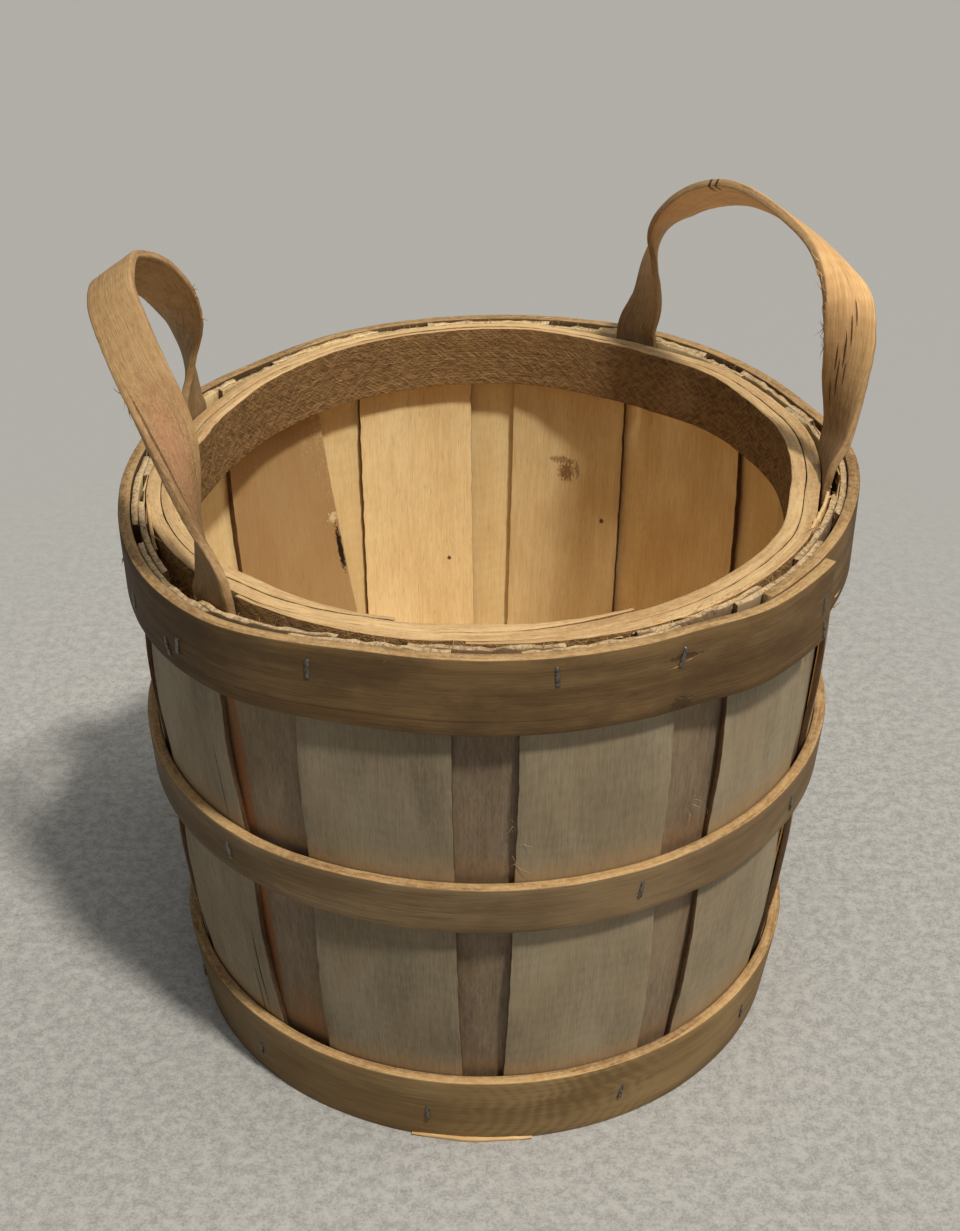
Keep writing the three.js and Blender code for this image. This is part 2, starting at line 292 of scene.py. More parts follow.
def wood(name, pale, dark, pore, coarse, patches=(0.3, (120, 112, 96)), contrast=0.3, relief=0.0002,
         inside=None, hairs=None, figure=0.0, arch=0.5, figure_at=None, spots=(), grain_step=0.0,
         # The last colour is that of a painted warm light, given only where a piece asks for it
         painted_bounce_colour=(52, 32, 16)):
    """A wood finish. coarse: how strong the clouds, streaks, fibres and pores are.
    patches: how strong, and their colour. hairs: how strong, their colour and their slant.
    inside: pale, dark and patches for the face that was turned to the basket's middle.
    figure_at: the one stretch where the growth rings show: which strip, and its centre and size.
    spots: the same three, with the place through the strip where it matters, then how ragged, how
    strong, and the colour. grain_step: how far along the grain each next strip was cut."""
    material, tree, shader = new_material(name)
    place = wire(tree, "ShaderNodeAttribute", attribute_name="grain_place")["Vector"]

    def mask(strip, centre, size, ragged):
        centre = (grain_step * strip + centre[0], *centre[1:], 0)[:3]
        values = {"Place": place, "Centre": centre, "Size": (*size, 1)[:3], "Ragged": ragged}
        return wire(tree, "ShaderNodeGroup", values, node_tree=spot)["Mask"]

    rings = times(tree, mask(*figure_at, 0.1), figure) if figure_at else figure

    def grained(pale, dark, patch_share):
        made = wire(tree, "ShaderNodeGroup", {
            "Place": place, "Pale": srgb(*pale), "Dark": srgb(*dark), "Pore": srgb(*pore), "Figure": rings,
            "Arch": arch, **dict(zip(("Clouds", "Streaks", "Fibres", "Pores"), coarse)),
        }, node_tree=grain)
        aged_and_lit = wire(tree, "ShaderNodeGroup", {
            "Place": place, "Color": made["Color"], "Patches": patch_share, "Patch Color": srgb(*patches[1]),
            "Contrast": contrast, "Stain Color": srgb(*painted_bounce_colour),
        }, node_tree=age_and_light)
        return made, aged_and_lit["Color"]

    made, colour = grained(pale, dark, patches[0])
    if inside:
        depth = wire(tree, "ShaderNodeSeparateXYZ", {0: place})["Z"]
        colour = mix(tree, ramp(tree, depth, -0.0004, 0.0004), grained(*inside)[1], colour)
    height = made["Height"]
    if hairs:
        strength, hair_colour, slant = hairs
        tufts = wire(tree, "ShaderNodeGroup", {"Place": place, "Slant": slant}, node_tree=torn)
        colour = mix(tree, times(tree, tufts["Mask"], strength), colour, srgb(*hair_colour))
        height = times(tree, tufts["Height"], 2.0 * strength, height)
    for *where, strength, spot_colour in spots:
        share = times(tree, mask(*where), strength)
        colour = mix(tree, share, colour, srgb(*spot_colour))
        height = times(tree, share, -1.0, height)
    bump = wire(tree, "ShaderNodeBump", {"Height": height, "Strength": 1.0, "Distance": relief})
    feed(tree, shader, {
        "Base Color": colour, "Roughness": made["Roughness"], "Normal": bump["Normal"],
        "Specular IOR Level": 0.25})
    return material


def face_outwards(bm):
    """Turns the faces of each closed shell outwards, by the sign of its volume."""
    bmesh.ops.recalc_face_normals(bm, faces=bm.faces)
    waiting = set(bm.faces)
    while waiting:
        shell, edge_of_shell = [], [waiting.pop()]
        while edge_of_shell:
            face = edge_of_shell.pop()
            shell.append(face)
            for edge in face.edges:
                for other in edge.link_faces:
                    if other in waiting:
                        waiting.remove(other)
                        edge_of_shell.append(other)
        start = shell[0].verts[0].co
        volume = sum(
            (face.calc_center_median() - start).dot(face.normal) * face.calc_area() for face in shell)
        if volume < 0:
            bmesh.ops.reverse_faces(bm, faces=shell)


def lay(bm, place, offset=0.0, tone=0.5, stain=None):
    """Moves a flat piece to its place. Each point keeps where it lay in the sawn strip."""
    grain_layer = bm.verts.layers.float_vector.new("grain_place")
    tone_layer = bm.verts.layers.float.new("tone")
    painted_bounce_layer = bm.verts.layers.float.new("stain")
    for vert in bm.verts:
        flat = vert.co.copy()
        vert[grain_layer] = flat + Vector((offset, 0, 0))
        # Each point's tone, which on some pieces carries painted shade, and the strength of a painted warm
        # light, where a piece gives one
        vert[tone_layer] = tone(flat) if callable(tone) else tone
        vert[painted_bounce_layer] = stain(flat) if stain else 0.0
        vert.co = place(flat)
    face_outwards(bm)


def show(name, bm, materials, node=None):
    """Makes the finished piece, and lets it stand for its CAD node where it has one."""
    mesh = bpy.data.meshes.new(name)
    for face in bm.faces:
        face.smooth = True
    bm.to_mesh(mesh)
    bm.free()
    piece = bpy.data.objects.new(name, mesh)
    for material in materials:
        mesh.materials.append(material)
    bpy.context.scene.collection.objects.link(piece)
    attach(piece, "root")
    if node:
        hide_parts(node)


def ease(bm, edges, corner):
    """Rounds these edges off a little."""
    bmesh.ops.bevel(bm, geom=edges, offset=corner, segments=2, profile=0.5, affect="EDGES", material=-1)


board_wood = wood(
    "board_wood", (232, 200, 146), (204, 164, 110), (130, 92, 54), (0.5, 0.5, 0.3, 0.25),
    patches=(0.1, (120, 112, 96)))
lower_radius, upper_radius = (
    wall_radius(level) - wall_depth - clearance for level in (board_level, board_level + board_thickness))
board = bmesh.new()
bmesh.ops.create_cone(
    board, cap_ends=True, segments=128, radius1=lower_radius, radius2=upper_radius, depth=board_thickness)
ease(board, [
    edge for edge in board.edges if abs(edge.verts[0].co.z - edge.verts[1].co.z) < board_corner
], board_corner)
bmesh.ops.translate(board, vec=(0, 0, board_level + board_thickness / 2), verts=board.verts)
lay(board, settle, offset=3.1, tone=0.6)
show("bottom_board_wood", board, [board_wood], "bottom_board")

# Staves
# Upright splints of sawn wood, all of about one width. The inner ones cover the gaps of the outer
# ones. They are held flat under the hoops, and the outer ones' edges stand proud between hoops.
stave_count = 11
stave_foot_lift = 0.0005
stave_top_drop = 0.0008
stave_corner = 0.00035
stave_cuts = (72, 14)
outer_stave_width = 0.0525
inner_stave_width = 0.05
outer_stave_spring = 0.45
inner_stave_spring = 0.1
stave_warp = 0.0004
stave_wave = 0.01
stave_fray = 0.0004
stave_top_rough = 0.0011
stave_top_run = 0.004
foot_hoop_height = 0.033
middle_hoop_level = 0.1115
middle_hoop_height = 0.02
rim_hoop_height = 0.0295
hoop_thickness = 0.0043
hoop_halves = (foot_hoop_height / 2, middle_hoop_height / 2, rim_hoop_height / 2)
hoop_middles = (hoop_halves[0], middle_hoop_level + hoop_halves[1], rim_level - hoop_halves[2])
spring_run = 0.03
# Painted light: a warm glow on the staves' outer faces just above each hoop, as of light bounced off the hoop
# tops; how strong it is, and how far up it fades
stave_bounce_light = 0.5
bounce_light_run = 0.018
stave_grain_step = 0.37

crack = (50, 34, 22)
# The colour after the contrast is the painted warm light laid just above the hoops
outer_stave_wood = wood(
    "outer_stave_wood", (149, 135, 109), (118, 104, 81), (86, 68, 48), (0.62, 0.12, 0.36, 0.35),
    figure=0.025, arch=0.06, patches=(0.5, (142, 122, 94)), contrast=0.5, painted_bounce_colour=(164, 128, 84),
    hairs=(0.12, (186, 174, 146), 0.1), inside=((248, 222, 164), (228, 194, 134), 0.05),
    grain_step=stave_grain_step,
    spots=(
        (10, (0.058, 0.0195), (0.024, 0.0006), 0.3, 0.9, crack),
        (10, (0.042, 0.016), (0.016, 0.0005), 0.3, 0.85, crack),
        (10, (0.15, 0.018), (0.02, 0.0004), 0.3, 0.7, (60, 42, 28)),
    ),
)
knot = (120, 76, 40)
dot = (62, 36, 20)
# The colour after the contrast is the painted warm light laid just above the hoops
inner_stave_wood = wood(
    "inner_stave_wood", (139, 121, 98), (106, 88, 70), (74, 52, 36), (0.6, 0.2, 0.42, 0.4),
    patches=(0.35, (140, 116, 84)), contrast=0.5, painted_bounce_colour=(140, 102, 64),
    hairs=(0.16, (182, 160, 128), 0.3), inside=((248, 222, 166), (226, 192, 134), 0.05),
    grain_step=stave_grain_step,
    spots=(
        (28, (0.11, 0.002, -0.0011), (0.16, 0.05, 0.0012), 0.25, 0.65, (150, 106, 58)),
        (26, (0.158, 0.0003), (0.0046, 0.0034), 0.8, 0.8, knot),
        (26, (0.1632, 0.0025), (0.0018, 0.0062), 0.7, 0.6, knot),
        (26, (0.159, -0.0046), (0.0036, 0.0012), 0.7, 0.6, knot),
        (26, (0.137, -0.017), (0.0013, 0.0011), 0.3, 0.9, dot),
        (27, (0.114, -0.0141), (0.0011, 0.001), 0.3, 0.9, dot),
        (28, (0.129, -0.0236), (0.0135, 0.0012), 0.45, 1.0, (34, 22, 13)),
        (28, (0.145, -0.0228), (0.0028, 0.002), 0.7, 0.8, (240, 214, 168)),
        (31, (0.11, -0.0165), (0.11, 0.0034), 0.35, 0.75, (150, 92, 46)),
        (31, (0.04, 0.0), (0.02, 0.012), 0.6, 0.4, (150, 100, 54)),
    ),
)
# The sawn edges are a warm brown of their own, darkened further as painted shade for the thin shadow along
# each stave's edge
stave_edge_wood = wood(
    "stave_edge_wood", (104, 72, 46), (66, 42, 26), (44, 28, 18), (0.5, 0.5, 0.5, 0.25),
    hairs=(0.12, (168, 136, 96), 0.5))
stave_end_wood = wood(
    "stave_end_wood", (204, 172, 122), (140, 104, 68), (70, 44, 26), (0.6, 0.6, 0.6, 0.6), relief=0.0004,
    hairs=(0.5, (236, 214, 172), 0.5))


def splint(length, width, thickness, corner, along, across):
    """A flat sawn strip that runs along X from zero, with eased corners, cut into small quads."""
    bm = bmesh.new()
    bmesh.ops.create_cube(bm, size=1)
    bmesh.ops.scale(bm, vec=(length, width, thickness), verts=bm.verts)
    bmesh.ops.translate(bm, vec=(length / 2, 0, 0), verts=bm.verts)
    ease(bm, bm.edges, corner)
    for axis, cuts, size in ((1, across, width), (0, along, length)):
        edges = [edge for edge in bm.edges if abs(edge.verts[0].co[axis] - edge.verts[1].co[axis]) > size / 2]
        bmesh.ops.subdivide_edges(bm, edges=edges, cuts=cuts, use_grid_fill=True)
    return bm


def cut_faces(bm, end_index=1):
    """Gives the sawn edges of a flat strip the second material, and its ends that or the third."""
    limit = 0.6
    bm.normal_update()
    for face in bm.faces:
        if abs(face.normal.z) < limit:
            face.material_index = end_index if abs(face.normal.x) > limit else 1


def hoop_hold(level):
    """1 under a hoop, falling to 0 away from it."""
    gaps = [max(0, abs(level - middle) - half) for middle, half in zip(hoop_middles, hoop_halves)]
    return 1 - smooth(min(gaps) / spring_run)


def stave(kind, index, azimuth, width, depth, spring, seed, tone, face_wood, lean=0.0, flare=0.0):
    """lean: how far the foot is set to the side. flare: how much wider the foot is, on the -Y side."""
    length = rim_level - stave_foot_lift - stave_top_drop
    bm = splint(length, width, stave_thickness, stave_corner, *stave_cuts)
    cut_faces(bm, end_index=2)

    def place(flat):
        up = flat.x
        side = flat.y
        down_share = 1 - up / length
        rough = ripple(side * 420, seed * 7.3, flat.z * 300)
        rough += 0.5 * ripple(side * 1500, seed * 3.1, flat.z * 800)
        up += stave_top_rough * rough * smooth((up - length + stave_top_run) / stave_top_run)
        wave = 1 + stave_wave * ripple(up * 14, seed * 5.1, 0)
        edge_share = smooth(abs(side) / (width / 2) * 4 - 3)
        side = side * wave + lean * down_share
        side += stave_fray * edge_share * ripple(up * 160, seed + copysign(9, side), 0)
        if flat.y < 0:
            side += flare * down_share * (-2 * flat.y / width)
        level = stave_foot_lift + up
        face_radius = wall_radius(level) - depth
        angle = side / face_radius
        free = 1 - hoop_hold(level)
        lift = spring * free * face_radius * (1 / cos(angle - lean * down_share / face_radius) - 1)
        warp = stave_warp * free * abs(ripple(level * 16, seed * 2.7, side * 25))
        radius = face_radius - stave_thickness / 2 + flat.z + lift + (-warp if depth else warp)
        return at(azimuth + degrees(angle), radius, level)

    # Painted light: a warm glow on the outer face just above each hoop, as of light bounced off it; none on
    # the inner face
    def painted_bounce_above_hoops(flat):
        gaps = [stave_foot_lift + flat.x - middle - half for middle, half in zip(hoop_middles, hoop_halves)]
        nearest = min((gap for gap in gaps if gap > -hoop_thickness), default=1)
        return stave_bounce_light * smooth(1 - nearest / bounce_light_run) if flat.z > 0 else 0.0

    lay(bm, place, offset=stave_grain_step * seed, tone=tone, stain=painted_bounce_above_hoops)
    node = f"{kind}_{index + 1:02d}"
    show(f"{node}_wood", bm, [face_wood, stave_edge_wood, stave_end_wood], node)


stave_pitch = 360 / stave_count
outer_tones = (0.58, 0.7, 0.5, 0.4, 0.62, 0.5, 0.6, 0.5, 0.45, 0.25, 0.15)
outer_turns = {9: -3.5}
for index, tone in enumerate(outer_tones):
    stave("outer_stave", index, (index + 0.5) * stave_pitch + outer_turns.get(index, 0), outer_stave_width,
          0, outer_stave_spring, index + 1, tone, outer_stave_wood)

inner_tones = (0.2, 0.55, 0.4, 0.1, 0.42, 0.35, 0.7, 0.2, 0.2, 0.55, 0.3)
inner_turns = {4: 4.5, 6: -1.8, 7: -1.5}
inner_leans = {4: -0.004, 7: -0.012}
inner_flares = {7: -0.014}
first_inner_seed = 21
for index, tone in enumerate(inner_tones):
    stave("inner_stave", index, index * stave_pitch + inner_turns.get(index, 0), inner_stave_width,
          stave_thickness + clearance, inner_stave_spring, index + first_inner_seed, tone, inner_stave_wood,
          inner_leans.get(index, 0), inner_flares.get(index, 0))

# Outer hoops
# Three strips bent round the staves, each end lapped over its own start and stapled through. They
# were sliced, so their faces are smooth, and their sawn top edges are pale.
hoop_corner = 0.0006
hoop_cuts = (420, 8)
lap_length = 0.031
lap_run = 0.034
hoop_wobble = 0.0005
hoop_ripple = 0.00015
hoop_end_rough = 0.0012
hoop_end_run = 0.003
hoop_grain_step = 1.9
# Painted shade: the outer hoops are darkened round this azimuth, on the left, where little light falls
shaded_azimuth = -80

hoop_wood = wood(
    "hoop_wood", (130, 102, 64), (99, 73, 42), (62, 41, 23), (0.65, 0.42, 0.4, 0.35),
    patches=(0.75, (82, 60, 34)), contrast=0.6, grain_step=hoop_grain_step,
    spots=(
        (1, (0.645, -0.0092), (0.12, 0.0005), 0.2, 0.35, (70, 46, 24)),
        (1, (0.7827, -0.0125), (0.004, 0.0026), 0.8, 0.7, (62, 44, 22)),
        (1, (0.7827, 0.006), (0.006, 0.0012), 0.6, 0.7, (60, 38, 20)),
        (1, (0.6, 0.002), (0.02, 0.004), 0.8, 0.4, (84, 58, 32)),
    ),
)
middle_hoop_wood = wood(
    "middle_hoop_wood", (133, 110, 78), (104, 83, 55), (66, 46, 28), (0.75, 0.45, 0.45, 0.4),
    patches=(0.6, (100, 78, 52)), contrast=0.6)
foot_hoop_wood = wood(
    "foot_hoop_wood", (142, 117, 77), (110, 86, 52), (72, 50, 30), (0.6, 0.32, 0.42, 0.35), figure=0.11,
    arch=1.9, patches=(0.5, (112, 84, 48)), contrast=0.6, grain_step=hoop_grain_step,
    figure_at=(3, (0.462, 0), (0.044, 0.05)),
)
hoop_edge_wood = wood(
    "hoop_edge_wood", (176, 140, 91), (124, 91, 54), (96, 62, 36), (0.7, 0.6, 0.6, 0.4),
    patches=(0.2, (150, 112, 68)), relief=0.0003, hairs=(0.25, (232, 204, 156), 0.5))


def arc_angle(length):
    return degrees(length / rim_radius)


def turn_between(first, second):
    return abs((first - second + 180) % 360 - 180)


def outer_hoop(node, lower, height, lap_azimuth, seed, face_wood, tone):
    start = lap_azimuth - arc_angle(lap_length)
    turn = 360 + arc_angle(lap_length)
    length = radians(turn) * wall_radius(lower + height / 2)
    run_angle = arc_angle(lap_run)
    bm = splint(length, height, hoop_thickness, hoop_corner, *hoop_cuts)
    cut_faces(bm)

    def place(flat):
        azimuth = start + turn * (flat.x / length)
        lift = smooth((azimuth - 360 - start + run_angle) / run_angle) * (hoop_thickness + clearance)
        edge = copysign(3, flat.y)
        wobble = hoop_wobble * ripple(flat.x * 9, seed, edge) + hoop_ripple * ripple(flat.x * 130, seed, edge)
        level = lower + height / 2 + flat.y + wobble * smooth(abs(2 * flat.y / height))
        if lower == 0 and flat.y < 0:
            level = max(0, height / 2 + flat.y)
        end_share = smooth(1 - min(flat.x, length - flat.x) / hoop_end_run)
        azimuth += arc_angle(hoop_end_rough * ripple(flat.y * 260, seed, flat.z * 500) * end_share)
        swell = hoop_ripple * ripple(flat.x * 35, flat.y * 60, seed)
        radius = wall_radius(level) + clearance + hoop_thickness / 2 + flat.z + lift + swell
        return at(azimuth, radius, level)

    # Painted shade: darker round the left side of the hoop
    def painted_shade_left(flat):
        azimuth = start + turn * flat.x / length
        return tone - 0.65 * smooth(1.3 - turn_between(azimuth, shaded_azimuth) / 45)

    lay(bm, place, offset=hoop_grain_step * seed, tone=painted_shade_left)
    show(f"{node}_wood", bm, [face_wood, hoop_edge_wood], node)


outer_hoop("rim_hoop", rim_level - rim_hoop_height, rim_hoop_height, 56, 1, hoop_wood, 0.3)
outer_hoop("middle_hoop", middle_hoop_level, middle_hoop_height, 205, 2, middle_hoop_wood, 0.6)
outer_hoop("foot_hoop", 0, foot_hoop_height, 160, 3, foot_hoop_wood, 0.6)

# Inner hoop
# A thick rough-sawn splint bent twice round inside the stave tops, so that it has two plies. The
# scarfed ends lap in front, and it bulges inwards where the handles' legs stand behind it.
inner_hoop_height = 0.025
ply_front_thickness = 0.0051
ply_feather = 0.0014
ply_top_drop = 0.0004
ply_corner = 0.00025
ply_cuts = (420, 10)
ply_wobble = 0.0007
ply_ripple = 0.0002
ply_rough = 0.00028
ply_grain_step = 2.3
scarf_length = 0.066
scarf_lead = 0.022
strip_width = 0.0177
strip_thickness = 0.0032
slot_run = 0.046
slot_margin = 0.0012
slot_leg_azimuths = (82.5, 150, -110)

inner_hoop_wood = wood(
    "inner_hoop_wood", (138, 105, 64), (104, 75, 42), (58, 36, 20), (0.3, 0.15, 0.4, 0.4),
    patches=(0.3, (98, 72, 42)), contrast=1.1, relief=0.001, hairs=(0.75, (176, 138, 88), 0.62))
ply_edge_wood = wood(
    "ply_edge_wood", (212, 178, 126), (172, 134, 88), (100, 66, 38), (0.5, 0.6, 0.6, 0.5),
    patches=(0.3, (158, 120, 76)), relief=0.0004, hairs=(0.2, (236, 212, 168), 0.5))

leg_sag = hypot(rim_radius, strip_width / 2) - rim_radius
slot_depth = strip_thickness + 2 * leg_sag + clearance
slot_half_angle = arc_angle(strip_width / 2 + slot_margin)


def slot_bulge(azimuth):
    nearest = min(turn_between(azimuth, leg) for leg in slot_leg_azimuths)
    return slot_depth * (1 - smooth((nearest - slot_half_angle) / arc_angle(slot_run)))


def ply_thickness(azimuth, start, end, back_thickness):
    front_share = smooth((180 - turn_between(azimuth, 0)) / 90)
    body = back_thickness + (ply_front_thickness - back_thickness) * front_share
    scarf = smooth(min(azimuth - start, end - azimuth) / arc_angle(scarf_length))
    return ply_feather + (body - ply_feather) * scarf


def ply_lift(azimuth, start, end, back_thickness):
    """How far a ply pushes inwards whatever is wound inside it."""
    if azimuth >= start:
        return ply_thickness(azimuth, start, end, back_thickness) + clearance
    return smooth(1 - (start - azimuth) / arc_angle(scarf_lead)) * (ply_feather + clearance)


# Each ply's first and last azimuth, and its thickness at the back
outer_ply = (-3, 384, 0.0031)
inner_ply = (-41, 345, 0.0017)


def inner_hoop_ply(node, own, is_inside, seed):
    start, end, _ = own
    length = radians(end - start) * (rim_radius - wall_depth)
    bm = splint(length, inner_hoop_height, ply_front_thickness, ply_corner, *ply_cuts)
    cut_faces(bm)
    middle_level = rim_level - ply_top_drop - inner_hoop_height / 2

    def place(flat):
        azimuth = start + (end - start) * flat.x / length
        edge = copysign(3, flat.y)
        wobble = ply_wobble * ripple(flat.x * 11, seed, edge) + ply_ripple * ripple(flat.x * 170, seed, edge)
        level = middle_level + flat.y + wobble * smooth(abs(2 * flat.y / inner_hoop_height))
        seat = wall_radius(level) - wall_depth - clearance - slot_bulge(azimuth)
        turned_back = azimuth - 360
        seat -= ply_lift(turned_back, *outer_ply) + ply_lift(turned_back, *inner_ply)
        if is_inside:
            seat -= ply_lift(azimuth, *outer_ply)
        inner_share = 0.5 - flat.z / ply_front_thickness
        rough = ply_rough * ripple(flat.x * 90, flat.y * 300, seed * 4) * inner_share
        return at(azimuth, seat - ply_thickness(azimuth, *own) * inner_share + rough, level, round_swells)

    # Painted shade: the plies are darker at the left and right sides than at the front and back
    def tone(flat):
        return 0.55 - 0.42 * sin(radians(start + (end - start) * flat.x / length)) ** 2

    lay(bm, place, offset=ply_grain_step * seed, tone=tone)
    show(f"{node}_wood", bm, [inner_hoop_wood, ply_edge_wood], node)


inner_hoop_ply("inner_hoop_outer_ply", outer_ply, False, 1)
inner_hoop_ply("inner_hoop_inner_ply", inner_ply, True, 2)

# Loop handles
# One bentwood strip each. Both legs are twisted to lie flat in the slot behind the inner hoop, and
# the crown's width points outwards and droops, so its underside shows on the right handle.
leg_depth = 0.022
leg_rise = 0.005
strip_corner = 0.0007
loop_height = 0.081
handle_steps = 260
handle_fray = 0.00035
handle_face_ripple = 0.00012
handle_grain_step = 4.1

crown_marks = (
    (1, (0.1245, -0.008), (0.001, 0.0038), 0.2, 0.9, (48, 30, 20)),
    (1, (0.129, -0.008), (0.0009, 0.0038), 0.2, 0.85, (48, 30, 20)),
)
# Splits on the right handle's outer leg: along, across, half length, half width, and how strong
splits = (
    (0.219, 0.0008, 0.006, 0.0003, 0.9), (0.226, -0.0009, 0.007, 0.00035, 0.9),
    (0.2295, -0.0036, 0.006, 0.0003, 0.9), (0.237, -0.0023, 0.008, 0.00035, 0.9),
    (0.243, -0.0047, 0.006, 0.0003, 0.8), (0.2345, 0.0002, 0.005, 0.0003, 0.8),
    (0.213, 0.0024, 0.005, 0.0003, 0.8),
)
handle_wood = wood(
    "handle_wood", (190, 154, 104), (152, 116, 72), (84, 54, 34), (0.6, 0.22, 0.6, 0.5), figure=0.04,
    arch=0.3, patches=(0.5, (168, 128, 86)), contrast=1.2, relief=0.0004, grain_step=handle_grain_step,
    hairs=(0.15, (220, 188, 142), 0.3),
    spots=(
        *crown_marks,
        *((1, (along, across), (long, wide), 0.2, strength, (64, 36, 20))
          for along, across, long, wide, strength in splits),
        (2, (0.075, 0.0065), (0.022, 0.0005), 0.3, 0.8, (70, 44, 28)),
        (2, (0.072, 0.001), (0.024, 0.0065), 0.9, 0.3, (184, 126, 100)),
    ),
)
handle_edge_wood = wood(
    "handle_edge_wood", (180, 144, 98), (136, 100, 62), (84, 54, 34), (0.4, 0.4, 0.6, 0.4),
    patches=(0.3, (136, 102, 64)), relief=0.0003, hairs=(0.25, (222, 192, 146), 0.5), spots=crown_marks,
    grain_step=handle_grain_step)

handles = (
    dict(
        name="right_handle", azimuth=116.25, half_angle=33.75, loop_lean=0.0102, crown_droop=38,
        loop_shares=(
            (-0.964, 0.197, 0.25), (-0.974, 0.397, 0.41), (-0.916, 0.576, 0.53), (-0.704, 0.755, 0.61),
            (-0.454, 0.882, 0.78), (-0.137, 0.97, 0.95), (0.166, 0.987, 1), (0.462, 0.946, 0.92),
            (0.721, 0.885, 0.66), (0.876, 0.764, 0.66), (0.934, 0.604, 0.67), (0.954, 0.404, 0.55),
            (0.975, 0.183, 0.4),
        ),
    ),
    dict(
        name="left_handle", azimuth=-76.5, half_angle=33.5, loop_lean=0.0265, crown_droop=32,
        loop_shares=(
            (-0.917, 0.25, 0.08), (-0.889, 0.432, 0.18), (-0.799, 0.616, 0.3), (-0.684, 0.735, 0.45),
            (-0.521, 0.844, 0.66), (-0.318, 0.932, 0.85), (-0.103, 1.01, 1), (0.112, 1.045, 0.98),
            (0.286, 1.004, 0.87), (0.456, 0.919, 0.59), (0.633, 0.771, 0.31), (0.844, 0.579, 0.11),
            (1.006, 0.387, 0.04), (1.042, 0.192, -0.01),
        ),
    ),
)


def spline_through(points, per_span=24):
    """A smooth line through the points, by the centripetal Catmull-Rom rule."""
    ends = [2 * points[0] - points[1], *points, 2 * points[-1] - points[-2]]
    line = []
    for before, first, second, after in zip(ends, ends[1:], ends[2:], ends[3:]):
        gaps = [sqrt((b - a).length) for a, b in ((before, first), (first, second), (second, after))]
        across_first = (second - before) / (gaps[0] + gaps[1])
        across_second = (after - first) / (gaps[1] + gaps[2])
        leave = (first - before) / gaps[0] - across_first + (second - first) / gaps[1]
        arrive = (second - first) / gaps[1] - across_second + (after - second) / gaps[2]
        leave, arrive = leave * gaps[1], arrive * gaps[1]
        for step in range(per_span):
            t = step / per_span
            line.append(
                first * (2 * t**3 - 3 * t**2 + 1) + leave * (t**3 - 2 * t**2 + t)
                + second * (3 * t**2 - 2 * t**3) + arrive * (t**3 - t**2)
            )
    return [*line, points[-1]]


def evenly(line, steps):
    """The same line cut into even steps, and its length."""
    reach = [0.0]
    for a, b in zip(line, line[1:]):
        reach.append(reach[-1] + (b - a).length)
    places, index = [], 0
    for step in range(steps + 1):
        want = reach[-1] * step / steps
        while index < len(line) - 2 and reach[index + 1] < want:
            index += 1
        share = (want - reach[index]) / max(1e-9, reach[index + 1] - reach[index])
        places.append(line[index].lerp(line[index + 1], min(1, share)))
    return places, reach[-1]


def handle_frames(azimuth, half_angle, loop_lean, crown_droop, loop_shares, **_):
    """Points down the middle of the strip, with the directions of its width and its thickness.
    loop_shares: how far along, up and out each point of the loop lies."""
    leg_radius = rim_radius - wall_depth - clearance - 2 * leg_sag - strip_thickness / 2
    far, near = azimuth - half_angle, azimuth + half_angle
    ends = [unsettled(leg, leg_radius, rim_level) for leg in (far, near)]
    half_span = (ends[0] - ends[1]).length / 2
    middle = (ends[0] + ends[1]) / 2
    along = (ends[0] - ends[1]).normalized()
    outwards = unsettled(azimuth, 1, 0)
    loop = []
    for span_share, height_share, lean_share in loop_shares:
        point = middle + along * span_share * half_span + outwards * lean_share * loop_lean
        point.z = rim_level + height_share * loop_height
        loop.append(point)
    rises = (-leg_depth, -leg_depth / 2, 0, leg_rise)
    first_leg = [unsettled(near, leg_radius, rim_level + rise) for rise in rises]
    last_leg = [unsettled(far, leg_radius, rim_level + rise) for rise in reversed(rises)]
    points, length = evenly(spline_through(first_leg + loop + last_leg), handle_steps)
    crown = max(range(len(points)), key=lambda index: points[index].z)
    frames = []
    for index, point in enumerate(points):
        before, after = points[max(0, index - 1)], points[min(handle_steps, index + 1)]
        direction = (after - before).normalized()
        rise_share = min(1, max(0, (point.z - rim_level) / loop_height))
        side = 1 if index < crown else -1
        turn = side * (1 - rise_share) * (90 + half_angle)
        across = unsettled(azimuth + turn, 1, -rise_share * tan(radians(crown_droop)))
        across = (across - direction * across.dot(direction)).normalized()
        frames.append((point, across, across.cross(direction)))
    return frames, length


def loop_handle(handle, seed, crown_tone):
    frames, length = handle_frames(**handle)
    bm = splint(length, strip_width, strip_thickness, strip_corner, handle_steps, 8)
    cut_faces(bm)

    def place(flat):
        station = min(handle_steps - 1e-6, max(0, flat.x / length * handle_steps))
        index = int(station)
        share = station - index
        point, across_way, through = (a.lerp(b, share) for a, b in zip(frames[index], frames[index + 1]))
        edge_share = smooth(abs(2 * flat.y / strip_width) * 3 - 2)
        fray = handle_fray * ripple(flat.x * 150, seed, copysign(5, flat.y)) * edge_share
        width = flat.y * (1 + 0.03 * ripple(flat.x * 20, seed, 1)) + copysign(fray, flat.y)
        face = handle_face_ripple * ripple(flat.x * 60, flat.y * 250, seed)
        return settle(point + across_way * width + through * (flat.z + face))

    # Painted shade: the strip darkens from the crown down the legs towards both ends
    def tone(flat):
        return 0.05 + (crown_tone - 0.05) * smooth(1.75 - abs(4 * flat.x / length - 2))

    lay(bm, place, offset=handle_grain_step * seed, tone=tone)
    show(f"{handle['name']}_wood", bm, [handle_wood, handle_edge_wood], handle["name"])


for seed, (handle, crown_tone) in enumerate(zip(handles, (1.0, 0.36))):
    loop_handle(handle, seed + 1, crown_tone)

